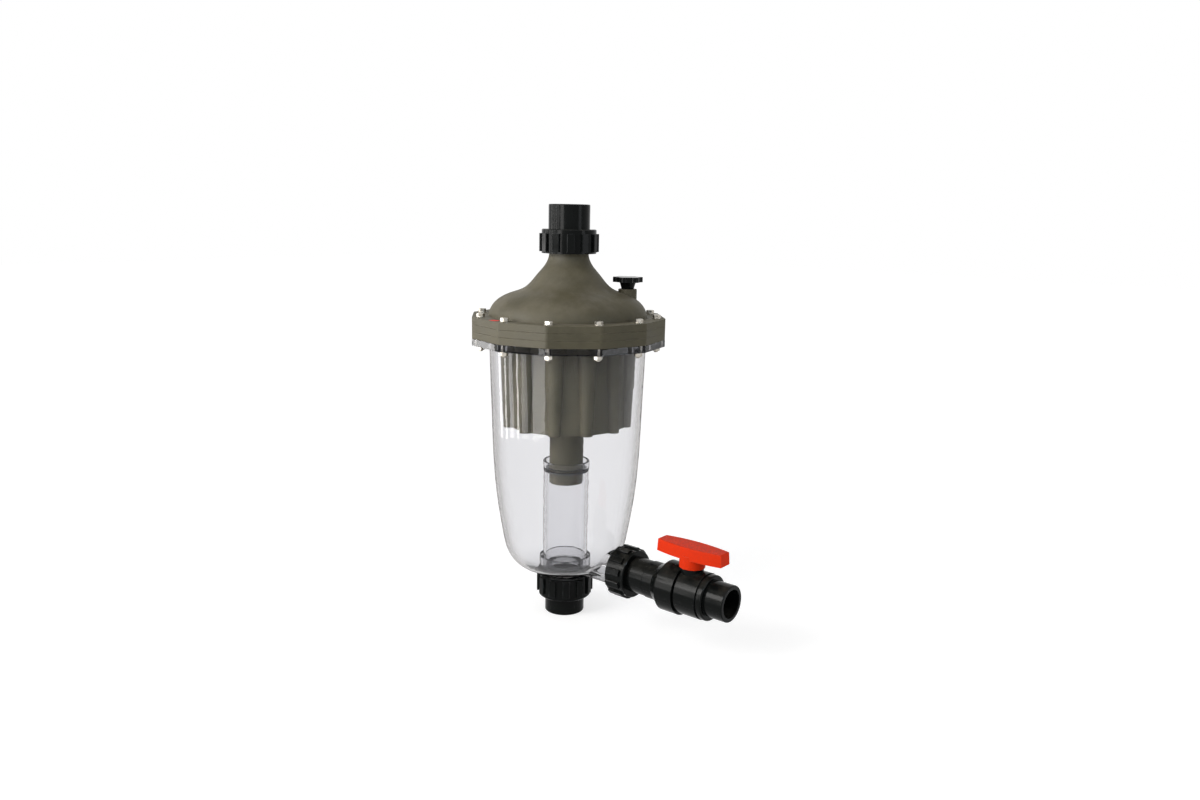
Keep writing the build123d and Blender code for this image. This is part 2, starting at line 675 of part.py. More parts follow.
def valve_handle():
    low = HANDLE_TOP_H - HANDLE_BAR_H
    bar = Pos(0, 0, low) * extrude(handle_outline(0.0), HANDLE_BAR_H, taper=3)
    bar = fillet(bar.faces().sort_by(Axis.Z)[-1].edges(), HANDLE_EDGE)
    hollow = extrude(handle_outline(HANDLE_WALL), HANDLE_BAR_H - HANDLE_WALL, taper=3)
    bar -= Pos(0, 0, low) * hollow
    hub_low = STEM_BOSS_H + HANDLE_GAP
    hub_h = HANDLE_TOP_H - HANDLE_WALL - hub_low
    bar += Pos(0, 0, hub_low + hub_h / 2) * Cylinder(HANDLE_HUB_R - HANDLE_EDGE - 2, hub_h)
    skirt_h = low + 2 * HANDLE_WALL - hub_low
    bar += Pos(0, 0, hub_low + skirt_h / 2) * Cylinder(HANDLE_HUB_R, skirt_h)
    rib = Box(HANDLE_L - HANDLE_WALL, HANDLE_WALL, HANDLE_BAR_H - HANDLE_WALL)
    bar += Pos(0, 0, low + HANDLE_WALL + rib.bounding_box().size.Z / 2 - 1) * rib
    square = STEM_SQUARE + 2 * STEM_GAP
    socket_h = STEM_TOP_H - hub_low + STEM_GAP
    bar -= Pos(0, 0, hub_low + socket_h / 2) * Box(square, square, socket_h)
    return at_ball(bar)


def at_bleed(shape):
    """Sets a shape on the bleed boss, with its zero on the boss's top."""
    place = Pos(BLEED_RING_R, 0, LID_TOP_Z + BLEED_BOSS_H)
    return Rot(0, 0, BLEED_ANGLE) * place * shape


def bleed_screw():
    ring_z = -BLEED_SCREW_L / 2
    neck_r = BLEED_SCREW_R - 2 * STEM_RING_R
    return at_bleed(revolved([
        (0, -BLEED_SCREW_L), (2, -BLEED_SCREW_L), (BLEED_SCREW_R, 4 - BLEED_SCREW_L),
        (BLEED_SCREW_R, ring_z - STEM_RING_R), (neck_r, ring_z - STEM_RING_R),
        (neck_r, ring_z + STEM_RING_R), (BLEED_SCREW_R, ring_z + STEM_RING_R),
        (BLEED_SCREW_R, KNOB_GAP + KNOB_HUB_H), (0, KNOB_GAP + KNOB_HUB_H)]))


def bleed_o_ring():
    return at_bleed(o_ring(BLEED_SCREW_R - STEM_RING_R, STEM_RING_R, -BLEED_SCREW_L / 2))


def bleed_knob():
    rim_z = KNOB_GAP + KNOB_HUB_H
    rim = Circle(KNOB_VALLEY_R)
    for lobe in around(Circle(KNOB_LOBE_R), KNOB_R - KNOB_LOBE_R, KNOB_LOBES):
        rim += lobe
    rim = extrude(rim, KNOB_RIM_H)
    rim = fillet(rim.faces().sort_by(Axis.Z)[-1].edges(), 1.2)
    hub = revolved([(0, KNOB_GAP), (KNOB_FOOT_R, KNOB_GAP), (KNOB_HUB_R, rim_z), (0, rim_z)])
    bore = Pos(0, 0, KNOB_GAP) * Cylinder(BLEED_SCREW_R, 2 * KNOB_HUB_H)
    return at_bleed(Pos(0, 0, rim_z) * rim + hub - bore)


def hexagon(flats, height):
    return extrude(RegularPolygon(flats / 2, 6, major_radius=False), height)


def flange_bolts():
    under = BASE_Z + BOWL_H - WASHER_T - NUT_H - BOLT_END
    head_z = LID_TOP_Z + WASHER_T
    shank = tube(BOLT_R, 0, under, head_z)
    bolt = shank + Pos(0, 0, head_z) * hexagon(HEAD_FLATS, HEAD_H)
    return Compound(children=around(bolt, BOLT_CIRCLE_R))


def flange_washers():
    top = tube(WASHER_R, BOLT_R + LOOSE, LID_TOP_Z, LID_TOP_Z + WASHER_T)
    low = BASE_Z + BOWL_H
    foot = tube(WASHER_R, BOLT_R + LOOSE, low - WASHER_T, low)
    return Compound(children=around(top, BOLT_CIRCLE_R) + around(foot, BOLT_CIRCLE_R))


def flange_nuts():
    top = BASE_Z + BOWL_H - WASHER_T
    nut = Pos(0, 0, top - NUT_H) * hexagon(HEAD_FLATS, NUT_H)
    nut -= Pos(0, 0, top) * Cylinder(BOLT_R, 4 * NUT_H)
    return Compound(children=around(nut, BOLT_CIRCLE_R))


PIECES = {
    "bowl": bowl,
    "standpipe": standpipe,
    "riser_seal_ring": riser_seal_ring,
    "standpipe_collar": standpipe_collar,
    "riser_pipe": riser_pipe,
    "cyclone_pack": cyclone_pack,
    "vortex_finder_plate": vortex_finder_plate,
    "lid_dome": lid_dome,
    "bowl_o_ring": bowl_o_ring,
    "plate_o_ring": plate_o_ring,
    "lid_o_ring": lid_o_ring,
    "inlet_tail": inlet_tail,
    "inlet_union_nut": inlet_union_nut,
    "inlet_o_ring": inlet_o_ring,
    "outlet_tail": outlet_tail,
    "outlet_union_nut": outlet_union_nut,
    "outlet_o_ring": outlet_o_ring,
    "drain_tail": drain_tail,
    "drain_union_nut": drain_union_nut,
    "drain_o_ring": drain_o_ring,
    "drain_nipple": drain_nipple,
    "valve_body": valve_body,
    "valve_end": valve_end,
    "valve_ball": valve_ball,
    "valve_seats": valve_seats,
    "valve_stem": valve_stem,
    "stem_o_ring": stem_o_ring,
    "valve_handle": valve_handle,
    "bleed_screw": bleed_screw,
    "bleed_o_ring": bleed_o_ring,
    "bleed_knob": bleed_knob,
    "flange_bolts": flange_bolts,
    "flange_washers": flange_washers,
    "flange_nuts": flange_nuts,
}

os.makedirs("parts", exist_ok=True)
for name, make in PIECES.items():
    export_step(make(), f"parts/{name}.step")
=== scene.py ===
import math

import bmesh
import bpy
from mathutils import Matrix, Vector


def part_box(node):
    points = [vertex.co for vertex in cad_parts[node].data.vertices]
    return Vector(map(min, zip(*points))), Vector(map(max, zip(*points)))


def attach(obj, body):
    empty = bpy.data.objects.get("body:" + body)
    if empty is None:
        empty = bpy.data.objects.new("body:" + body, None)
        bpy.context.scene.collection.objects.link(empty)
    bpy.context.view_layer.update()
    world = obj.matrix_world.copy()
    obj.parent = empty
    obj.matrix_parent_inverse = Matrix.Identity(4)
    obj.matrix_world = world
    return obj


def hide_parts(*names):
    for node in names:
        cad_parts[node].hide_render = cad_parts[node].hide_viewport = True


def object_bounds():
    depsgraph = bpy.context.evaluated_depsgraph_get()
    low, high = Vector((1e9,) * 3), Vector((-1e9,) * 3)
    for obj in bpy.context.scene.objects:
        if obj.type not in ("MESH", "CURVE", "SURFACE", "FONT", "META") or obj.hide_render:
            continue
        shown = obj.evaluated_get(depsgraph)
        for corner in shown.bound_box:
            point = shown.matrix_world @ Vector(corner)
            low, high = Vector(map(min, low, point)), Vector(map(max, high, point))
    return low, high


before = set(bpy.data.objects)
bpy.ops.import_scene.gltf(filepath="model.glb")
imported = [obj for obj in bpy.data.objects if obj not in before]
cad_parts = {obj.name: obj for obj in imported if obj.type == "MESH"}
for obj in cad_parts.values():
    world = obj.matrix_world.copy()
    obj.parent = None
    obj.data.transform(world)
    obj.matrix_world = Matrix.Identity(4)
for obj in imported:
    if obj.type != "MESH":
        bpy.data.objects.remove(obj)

bl_info = {
    "name": "Centrifugal filter",
    "version": (1, 0, 0),
    "blender": (4, 5, 0),
    "location": "View3D > Sidebar > Filter",
    "description": "Finishes, fasteners and softened mouldings of a centrifugal water filter",
    "category": "Object",
}

CAD_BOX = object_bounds()
# The flange has as many corners as bolts.
COUNT = 12
# Heights of the fasteners, from the solids that they stand for
WASHER_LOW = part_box("flange_washers")[0].z
WASHER_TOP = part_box("flange_washers")[1].z
NUT_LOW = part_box("flange_nuts")[0].z
NUT_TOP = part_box("flange_nuts")[1].z
BOLT_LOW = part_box("flange_bolts")[0].z
BOLT_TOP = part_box("flange_bolts")[1].z
WASHER_THICK = 0.0016
# Place and half lengths of the dab of paint on top of the lid's flange
DAB_PLACE = (-0.024, -0.166, WASHER_TOP - WASHER_THICK)
DAB_REACH = (0.015, 0.012, 0.002)
# Points nearer than this are one point: in copies of the solids, and in meshes made here
WELD = 0.000004
TINY = 0.0000001


# Colours and sizes that a user would change

def colour(name, words, value):
    """A colour as a property."""
    return bpy.props.FloatVectorProperty(name=name, description=words, subtype="COLOR",
                                         size=3, min=0.0, max=1.0, default=value)


def length(name, words, value):
    """A length in metres as a property."""
    return bpy.props.FloatProperty(name=name, description=words, unit="LENGTH", min=0.0,
                                   precision=5, default=value)


def lamp_power(name, words, value):
    """A lamp's power as a property."""
    return bpy.props.FloatProperty(name=name, description=words, unit="POWER", min=0.0,
                                   default=value)


def plain_strength(name, words, value):
    """A plain strength as a property."""
    return bpy.props.FloatProperty(name=name, description=words, min=0.0, default=value)


class FilterFinish(bpy.types.PropertyGroup):
    """Colours of the filter's finishes"""
    olive: colour("Lid plastic", "Glass-filled plastic of lid, plates and cyclones",
                  (0.050, 0.044, 0.024))
    olive_pale: colour("Lid plastic, pale", "Paler patches of the same plastic",
                       (0.078, 0.069, 0.041))
    dust: colour("Dust", "Settled dust on the upper faces", (0.22, 0.20, 0.165))
    clear: colour("Clear plastic", "Tint of the bowl and the stand pipe", (0.975, 0.975, 0.985))
    # The edgewise colour is partly the wall's depth and partly a painted brown reflection and painted
    # shade that darken the outlines of bowl and pipe.
    clear_edge_painted_reflection: colour("Clear plastic, edgewise", "Tint where one looks along the wall",
                       (0.36, 0.325, 0.29))
    black: colour("Fittings", "Black plastic of unions and valve", (0.0042, 0.0050, 0.0048))
    worn_black: colour("Fittings, worn", "Scuffed edges of the black plastic",
                       (0.05, 0.054, 0.06))
    red: colour("Handle", "Orange red plastic of the valve handle", (0.73, 0.032, 0.003))
    red_dark: colour("Handle, dark", "Darker specks of the handle's top", (0.30, 0.035, 0.022))
    red_worn: colour("Handle, worn", "Rubbed edges of the handle", (0.86, 0.16, 0.08))
    paint: colour("Paint dab", "Dab of paint on the lid's flange", (0.62, 0.022, 0.012))
    rubber: colour("Seals", "Rubber of the seal rings", (0.018, 0.018, 0.019))
    rubber_pale: colour("Seals, pale", "Paler patches of the seal rings", (0.035, 0.035, 0.036))
    seat: colour("Seats", "White plastic of the ball's seats", (0.80, 0.79, 0.76))
    seat_dull: colour("Seats, dull", "Duller patches of the ball's seats", (0.70, 0.69, 0.65))
    steel: colour("Steel", "Plated steel of the flange bolts", (0.52, 0.50, 0.46))
    steel_dull: colour("Steel, dull", "Tarnished patches of the bolts", (0.30, 0.27, 0.22))


class FilterSizes(bpy.types.PropertyGroup):
    """Sizes of the flange's corners, its fasteners and the moulded edges"""
    flange_reach: length("Flange", "Radius of the flange's twelve corners", 0.182)
    flange_corner: length("Flange corners", "Rounding of the flange's twelve corners", 0.016)
    bolt_circle: length("Bolt circle", "Radius of the ring of flange bolts", 0.1656)
    bolt_radius: length("Bolt radius", "Outer radius of the bolts' thread", 0.004)
    thread_pitch: length("Thread pitch", "Pitch of the bolts' thread", 0.00125)
    head_flats: length("Across flats", "Width of bolt heads and nuts", 0.013)
    washer_radius: length("Washer radius", "Outer radius of the washers", 0.008)
    edge: length("Edge radius", "Rounding of the moulded edges", 0.0009)


class FilterStudio(bpy.types.PropertyGroup):
    """Light and floor of the studio"""
    daylight: plain_strength("Daylight", "Strength of the even light all round", 0.32)
    window_power: plain_strength("Windows", "Brightness of the window panes at the left", 1.0)
    key_power: lamp_power("Key lamp", "Power of the lamp at the left", 32.0)
    bar_power: lamp_power("Bar lamp", "Power of the long lamp above the camera", 26.0)
    top_power: lamp_power("Top lamp", "Power of the large lamp above", 6.0)
    fill_power: lamp_power("Fill lamp", "Power of the lamp at the right", 7.0)
    floor: colour("Floor", "Colour of the floor", (0.86, 0.86, 0.86))


# Node helpers

class Nodes:
    """Adds nodes to a tree and joins their sockets."""

    def __init__(self, tree):
        self.tree = tree

    def add(self, kind, inputs=None, **settings):
        """Adds a node with its settings, and fills its inputs."""
        node = self.tree.nodes.new(kind)
        for key, value in settings.items():
            setattr(node, key, value)
        for key, value in (inputs or {}).items():
            self.put(node.inputs[key], value)
        return node

    def put(self, socket, value):
        """Joins an output to a socket, or sets the socket to a value."""
        if isinstance(value, bpy.types.NodeSocket):
            self.tree.links.new(value, socket)
        else:
            socket.default_value = value

    def math(self, operation, a, b=0.0, clamp=False):
        """One sum of two values."""
        node = self.add("ShaderNodeMath", {0: a, 1: b}, operation=operation, use_clamp=clamp)
        return node.outputs[0]

    def noise(self, vector, scale, detail, roughness):
        """Soft noise, its scale in patches to the metre."""
        node = self.add("ShaderNodeTexNoise", {"Vector": vector, "Scale": scale,
                                               "Detail": detail, "Roughness": roughness})
        return node.outputs[0]

    def spread(self, value, low, high, start=0.0, end=1.0):
        """Stretches a value from low..high to start..end, held at both ends."""
        node = self.add("ShaderNodeMapRange", {0: value, 1: low, 2: high, 3: start, 4: end})
        node.clamp = True
        return node.outputs[0]

    def blend(self, factor, first, second):
        """Blends two colours. The Mix node keeps its colours in sockets 6, 7 and 2."""
        node = self.add("ShaderNodeMix", data_type="RGBA")
        self.put(node.inputs["Factor"], factor)
        self.put(node.inputs[6], first)
        self.put(node.inputs[7], second)
        return node.outputs[2]


WHITE = (1.0, 1.0, 1.0, 1.0)


def rgba(value):
    """Colour with full alpha."""
    return (*value, 1.0)


def new_group(name, inputs, outputs):
    """Shader node group with named float inputs and outputs."""
    tree = bpy.data.node_groups.new(name, "ShaderNodeTree")
    for label, default in inputs.items():
        socket = tree.interface.new_socket(label, in_out="INPUT", socket_type="NodeSocketFloat")
        socket.default_value = default
    for label in outputs:
        tree.interface.new_socket(label, in_out="OUTPUT", socket_type="NodeSocketFloat")
    nodes = Nodes(tree)
    return nodes, nodes.add("NodeGroupInput"), nodes.add("NodeGroupOutput")


def grain_group():
    """Slow mottling and fine grain of a moulded plastic."""
    name = "Moulded grain"
    if name in bpy.data.node_groups:
        return bpy.data.node_groups[name]
    nodes, given, out = new_group(name, {"Patches": 12.0, "Grain": 900.0}, ["Mottle", "Height"])
    place = nodes.add("ShaderNodeTexCoord").outputs["Object"]
    slow = nodes.noise(place, given.outputs["Patches"], 6.0, 0.62)
    fine = nodes.noise(place, given.outputs["Grain"], 2.0, 0.6)
    nodes.put(out.inputs["Mottle"], nodes.spread(slow, 0.36, 0.66))
    nodes.put(out.inputs["Height"], fine)
    return nodes.tree


def dust_group():
    """Mask of faces that look up, thicker in some places: settled dust on most pieces, darker specks on
    the handle's top.
    """
    name = "Settled dust"
    if name in bpy.data.node_groups:
        return bpy.data.node_groups[name]
    nodes, given, out = new_group(name, {"Amount": 0.3, "Patches": 25.0}, ["Mask"])
    place = nodes.add("ShaderNodeTexCoord").outputs["Object"]
    split = nodes.add("ShaderNodeSeparateXYZ", {0: nodes.add("ShaderNodeNewGeometry").outputs["Normal"]})
    upward = nodes.spread(split.outputs["Z"], 0.25, 0.95)
    patches = nodes.spread(nodes.noise(place, given.outputs["Patches"], 8.0, 0.65), 0.38, 0.68)
    mask = nodes.math("MULTIPLY", upward, patches)
    nodes.put(out.inputs["Mask"], nodes.math("MULTIPLY", mask, given.outputs["Amount"], True))
    return nodes.tree


def edge_group():
    """Mask of convex edges, broken up by noise."""
    name = "Worn edge"
    if name in bpy.data.node_groups:
        return bpy.data.node_groups[name]
    nodes, given, out = new_group(name, {"Radius": 0.001, "Amount": 0.6, "Patches": 60.0}, ["Mask"])
    place = nodes.add("ShaderNodeTexCoord").outputs["Object"]
    round_normal = nodes.add("ShaderNodeBevel", {"Radius": given.outputs["Radius"]}, samples=6)
    flat_normal = nodes.add("ShaderNodeNewGeometry").outputs["Normal"]
    match = nodes.add("ShaderNodeVectorMath", {0: round_normal.outputs[0], 1: flat_normal},
                      operation="DOT_PRODUCT")
    edge = nodes.spread(match.outputs["Value"], 0.995, 0.90)
    patches = nodes.spread(nodes.noise(place, given.outputs["Patches"], 5.0, 0.6), 0.42, 0.6)
    mask = nodes.math("MULTIPLY", edge, patches)
    nodes.put(out.inputs["Mask"], nodes.math("MULTIPLY", mask, given.outputs["Amount"], True))
    return nodes.tree


def scuff_group():
    """Fine scuffs, drawn out along one way."""
    name = "Fine scuffs"
    if name in bpy.data.node_groups:
        return bpy.data.node_groups[name]
    nodes, given, out = new_group(name, {"Scale": 90.0, "Length": 6.0}, ["Mask"])
    place = nodes.add("ShaderNodeTexCoord").outputs["Object"]
    stretch = nodes.add("ShaderNodeCombineXYZ", {0: given.outputs["Length"], 1: given.outputs["Length"],
                                                 2: 1.0})
    drawn = nodes.add("ShaderNodeVectorMath", {0: place, 1: stretch.outputs[0]}, operation="MULTIPLY")
    lines = nodes.noise(drawn.outputs[0], given.outputs["Scale"], 4.0, 0.7)
    nodes.put(out.inputs["Mask"], nodes.spread(lines, 0.55, 0.72))
    return nodes.tree


def dab_group():
    """A dab of paint beside one bolt, on top of the lid's flange."""
    name = "Paint dab"
    if name in bpy.data.node_groups:
        return bpy.data.node_groups[name]
    nodes, given, out = new_group(name, {"Size": 1.0, "Ragged": 0.7}, ["Mask"])
    place = nodes.add("ShaderNodeTexCoord").outputs["Object"]
    offset = nodes.add("ShaderNodeVectorMath", {0: place, 1: DAB_PLACE}, operation="SUBTRACT")
    scaled = nodes.add("ShaderNodeVectorMath", {0: offset.outputs[0], 1: DAB_REACH}, operation="DIVIDE")
    away = nodes.add("ShaderNodeVectorMath", {0: scaled.outputs[0]}, operation="LENGTH").outputs["Value"]
    ragged = nodes.math("MULTIPLY", nodes.noise(place, 260.0, 3.0, 0.6), given.outputs["Ragged"])
    away = nodes.math("ADD", away, ragged)
    inside = nodes.math("LESS_THAN", away, given.outputs["Size"])
    nodes.put(out.inputs["Mask"], inside)
    return nodes.tree


def placed(nodes, tree, **values):
    """Places a shader group in a material, with its own values."""
    node = nodes.add("ShaderNodeGroup", node_tree=tree)
    for key, value in values.items():
        node.inputs[key].default_value = value
    return node


def bare_nodes(owner):
    """Empties the node tree of a new material or world."""
    owner.use_nodes = True
    owner.node_tree.nodes.clear()
    return Nodes(owner.node_tree)


def new_material(name):
    """Material with one main shader that is joined to its output."""
    material = bpy.data.materials.new(name)
    nodes = bare_nodes(material)
    shader = nodes.add("ShaderNodeBsdfPrincipled")
    out = nodes.add("ShaderNodeOutputMaterial", {"Surface": shader.outputs[0]})
    return material, nodes, shader, out


def mottled_gloss(nodes, shader, grain, low, high):
    """Lets the roughness follow the slow mottling."""
    nodes.put(shader.inputs["Roughness"], nodes.spread(grain.outputs["Mottle"], 0.0, 1.0, low, high))


def bump(nodes, shader, height, strength, distance):
    """Small relief of a surface."""
    node = nodes.add("ShaderNodeBump", {"Height": height, "Strength": strength,
                                        "Distance": distance})
    nodes.put(shader.inputs["Normal"], node.outputs[0])


def olive_plastic(finish):
    """Matte glass-filled plastic, mottled, with dust on what looks up."""
    material, nodes, shader, _ = new_material("olive_plastic")
    grain = placed(nodes, grain_group(), Patches=14.0, Grain=850.0)
    dust = placed(nodes, dust_group(), Amount=0.28, Patches=22.0)
    worn = placed(nodes, edge_group(), Radius=0.0009, Amount=0.5, Patches=70.0)
    base = nodes.blend(grain.outputs["Mottle"], rgba(finish.olive), rgba(finish.olive_pale))
    base = nodes.blend(dust.outputs["Mask"], base, rgba(finish.dust))
    base = nodes.blend(worn.outputs["Mask"], base, rgba(finish.dust))
    base = nodes.blend(placed(nodes, dab_group()).outputs["Mask"], base, rgba(finish.paint))
    nodes.put(shader.inputs["Base Color"], base)
    mottled_gloss(nodes, shader, grain, 0.52, 0.68)
    shader.inputs["Specular IOR Level"].default_value = 0.22
    bump(nodes, shader, grain.outputs["Height"], 0.38, 0.0005)
    return material


def black_plastic(finish):
    """Near-black pressure pipe plastic with a soft gloss and light scuffs."""
    material, nodes, shader, _ = new_material("black_plastic")
    grain = placed(nodes, grain_group(), Patches=30.0, Grain=700.0)
    dust = placed(nodes, dust_group(), Amount=0.10, Patches=45.0)
    worn = placed(nodes, edge_group(), Radius=0.0010, Amount=0.55, Patches=90.0)
    scuff = placed(nodes, scuff_group(), Scale=70.0, Length=5.0)
    base = nodes.blend(worn.outputs["Mask"], rgba(finish.black), rgba(finish.worn_black))
    base = nodes.blend(dust.outputs["Mask"], base, rgba(finish.dust))
    nodes.put(shader.inputs["Base Color"], base)
    rough = nodes.spread(grain.outputs["Mottle"], 0.0, 1.0, 0.11, 0.20)
    rough = nodes.math("ADD", rough, nodes.math("MULTIPLY", scuff.outputs["Mask"], 0.10), True)
    nodes.put(shader.inputs["Roughness"], rough)
    shader.inputs["Specular IOR Level"].default_value = 0.065
    bump(nodes, shader, grain.outputs["Height"], 0.03, 0.0003)
    return material


# Clear plastic: how much it bends light, its gloss seen straight on, the colour that its depth leaves,
# the light that it lets through to the inside, and the height of the slow waves in its walls
CLEAR_BEND = 1.49
CLEAR_GLOSS = (0.34, 0.34, 0.35, 1.0)
CLEAR_DEPTH = (0.60, 0.60, 0.61, 1.0)
CLEAR_PASSES = (0.86, 0.86, 0.87, 1.0)
CLEAR_WAVE = 0.004
# Depth of colour, and strength of the waves, of the bowl's thick wall and the pipe's thin one
BOWL_DEPTH = (60.0, 0.006)
PIPE_DEPTH = (30.0, 0.004)


def clear_plastic(finish, name, density, waves):
    """Clear moulded plastic. Lamps shine through it, so what is inside stays lit."""
    material, nodes, shader, out = new_material(name)
    # Towards the outlines the colour turns to the edgewise one: partly the wall's depth, partly a painted
    # brown reflection and painted shade.
    facing = nodes.add("ShaderNodeLayerWeight", {"Blend": 0.5}).outputs["Facing"]
    edgewise = nodes.math("POWER", nodes.spread(facing, 0.38, 1.0), 2.0)
    tint = nodes.blend(edgewise, rgba(finish.clear), rgba(finish.clear_edge_painted_reflection))
    nodes.put(shader.inputs["Base Color"], tint)
    shader.inputs["Transmission Weight"].default_value = 1.0
    shader.inputs["IOR"].default_value = CLEAR_BEND
    shader.inputs["Specular Tint"].default_value = CLEAR_GLOSS
    place = nodes.add("ShaderNodeTexCoord").outputs["Object"]
    drawn = nodes.add("ShaderNodeMapping", {"Vector": place, "Scale": (1.0, 1.0, 0.22)})
    flow = nodes.noise(drawn.outputs[0], 26.0, 0.0, 0.4)
    rough = nodes.spread(flow, 0.35, 0.7, 0.006, 0.016)
    nodes.put(shader.inputs["Roughness"], rough)
    bump(nodes, shader, flow, waves, CLEAR_WAVE)
    depth = nodes.add("ShaderNodeVolumeAbsorption")
    depth.inputs["Color"].default_value = CLEAR_DEPTH
    depth.inputs["Density"].default_value = density
    nodes.put(out.inputs["Volume"], depth.outputs[0])
    lamps = nodes.add("ShaderNodeBsdfTransparent")
    lamps.inputs["Color"].default_value = CLEAR_PASSES
    wall = nodes.add("ShaderNodeBsdfRefraction", {"Color": tint, "Roughness": rough})
    wall.inputs["IOR"].default_value = CLEAR_BEND
    # Seen along the wall it mostly bends light, which draws its edges dark.
    along = nodes.math("MULTIPLY", nodes.spread(facing, 0.45, 0.85), 0.8)
    body = nodes.add("ShaderNodeMixShader", {0: along, 1: shader.outputs[0], 2: wall.outputs[0]})
    path = nodes.add("ShaderNodeLightPath")
    mix = nodes.add("ShaderNodeMixShader", {0: path.outputs["Is Shadow Ray"],
                                            1: body.outputs[0], 2: lamps.outputs[0]})
    nodes.put(out.inputs["Surface"], mix.outputs[0])
    return material


def red_plastic(finish):
    """Orange red moulded plastic with a fine speckled texture."""
    material, nodes, shader, _ = new_material("red_plastic")
    grain = placed(nodes, grain_group(), Patches=420.0, Grain=650.0)
    worn = placed(nodes, edge_group(), Radius=0.0012, Amount=0.45, Patches=80.0)
    fresh = nodes.spread(grain.outputs["Mottle"], 0.0, 1.0, 0.80, 1.0)
    base = nodes.blend(fresh, rgba(finish.red_dark), rgba(finish.red))
    base = nodes.blend(worn.outputs["Mask"], base, rgba(finish.red_worn))
    # The faces that look up get darker specks of the dark red here, through the same mask as the dust.
    dust = placed(nodes, dust_group(), Amount=0.75, Patches=240.0)
    base = nodes.blend(dust.outputs["Mask"], base, rgba(finish.red_dark))
    nodes.put(shader.inputs["Base Color"], base)
    mottled_gloss(nodes, shader, grain, 0.5, 0.36)
    shader.inputs["Specular IOR Level"].default_value = 0.035
    bump(nodes, shader, grain.outputs["Height"], 0.35, 0.0004)
    return material


def rubber(finish):
    """Matte rubber of the seal rings."""
    material, nodes, shader, _ = new_material("seal_rubber")
    grain = placed(nodes, grain_group(), Patches=80.0, Grain=1500.0)
    base = nodes.blend(grain.outputs["Mottle"], rgba(finish.rubber), rgba(finish.rubber_pale))
    nodes.put(shader.inputs["Base Color"], base)
    mottled_gloss(nodes, shader, grain, 0.55, 0.75)
    bump(nodes, shader, grain.outputs["Height"], 0.2, 0.0002)
    return material


def seat_plastic(finish):
    """Smooth white plastic of the ball's seats."""
    material, nodes, shader, _ = new_material("seat_plastic")
    grain = placed(nodes, grain_group(), Patches=60.0, Grain=900.0)
    base = nodes.blend(grain.outputs["Mottle"], rgba(finish.seat), rgba(finish.seat_dull))
    nodes.put(shader.inputs["Base Color"], base)
    mottled_gloss(nodes, shader, grain, 0.35, 0.5)
    bump(nodes, shader, grain.outputs["Height"], 0.1, 0.0002)
    return material


def plated_steel(finish):
    """Zinc-plated steel, a little tarnished."""
    material, nodes, shader, _ = new_material("plated_steel")
    grain = placed(nodes, grain_group(), Patches=160.0, Grain=2400.0)
    base = nodes.blend(grain.outputs["Mottle"], rgba(finish.steel), rgba(finish.steel_dull))
    nodes.put(shader.inputs["Base Color"], base)
    shader.inputs["Metallic"].default_value = 1.0
    mottled_gloss(nodes, shader, grain, 0.22, 0.42)
    bump(nodes, shader, grain.outputs["Height"], 0.15, 0.0001)
    return material


# Pieces

# Faces that turn by less are flat; edges that turn by more are rounded, or stay crisp
FLAT_ANGLE = math.radians(0.5)
ROUNDED_ANGLE = math.radians(28.0)
FITTING_CRISP = math.radians(34.0)
RIM_CRISP = math.radians(28.0)
FASTENER_CRISP = math.radians(30.0)
EDGE_SEGMENTS = 2


def dress(names, material):
    """Gives CAD solids a finish."""
    for name in names:
        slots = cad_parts[name].data.materials
        slots.clear()
        slots.append(material)


def link_piece(name, mesh):
    """Puts a mesh into the scene as a piece at the origin."""
    piece = bpy.data.objects.new(name, mesh)
    bpy.context.scene.collection.objects.link(piece)
    return piece


def settle(piece):
    """Turns a piece with modifiers into a plain mesh at the origin."""
    bpy.context.view_layer.update()
    graph = bpy.context.evaluated_depsgraph_get()
    mesh = bpy.data.meshes.new_from_object(piece.evaluated_get(graph), depsgraph=graph)
    mesh.name = piece.name
    piece.modifiers.clear()
    piece.data = mesh
    return piece


def cad_copy(node, name, material, flatten):
    """Copy of a CAD solid with its loose triangles joined, and its flat faces too if wanted."""
    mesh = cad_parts[node].data.copy()
    cut = bmesh.new()
    cut.from_mesh(mesh)
    bmesh.ops.remove_doubles(cut, verts=cut.verts, dist=WELD)
    if flatten:
        bmesh.ops.dissolve_limit(cut, angle_limit=FLAT_ANGLE, verts=cut.verts, edges=cut.edges)
    cut.to_mesh(mesh)
    cut.free()
    if "custom_normal" in mesh.attributes:
        mesh.attributes.remove(mesh.attributes["custom_normal"])
    mesh.materials.clear()
    mesh.materials.append(material)
    return link_piece(name, mesh)


def smooth_shaded(piece, crisp_angle):
    """Smooth shading that stays crisp where faces meet at more than an angle."""
    for face in piece.data.polygons:
        face.use_smooth = True
        face.material_index = 0
    piece.data.set_sharp_from_angle(angle=crisp_angle)
    shade = piece.modifiers.new("shading", "WEIGHTED_NORMAL")
    shade.keep_sharp = True
    settle(piece)


def softened(node, name, width, body, material):
    """Stands for a CAD solid: the same shape with its sharp edges rounded."""
    piece = cad_copy(node, name, material, True)
    bevel = piece.modifiers.new("rounding", "BEVEL")
    bevel.width = width
    bevel.segments = EDGE_SEGMENTS
    bevel.limit_method = "ANGLE"
    bevel.angle_limit = ROUNDED_ANGLE
    bevel.use_clamp_overlap = True
    settle(piece)
    smooth_shaded(piece, FITTING_CRISP)
    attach(piece, body)
    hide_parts(node)


# The block that rounds the rims: its sides lie just off the flat faces, so only corners are cut
SLACK = 0.00003
CORNER_STEPS = 6
BLOCK_BEYOND = 0.05


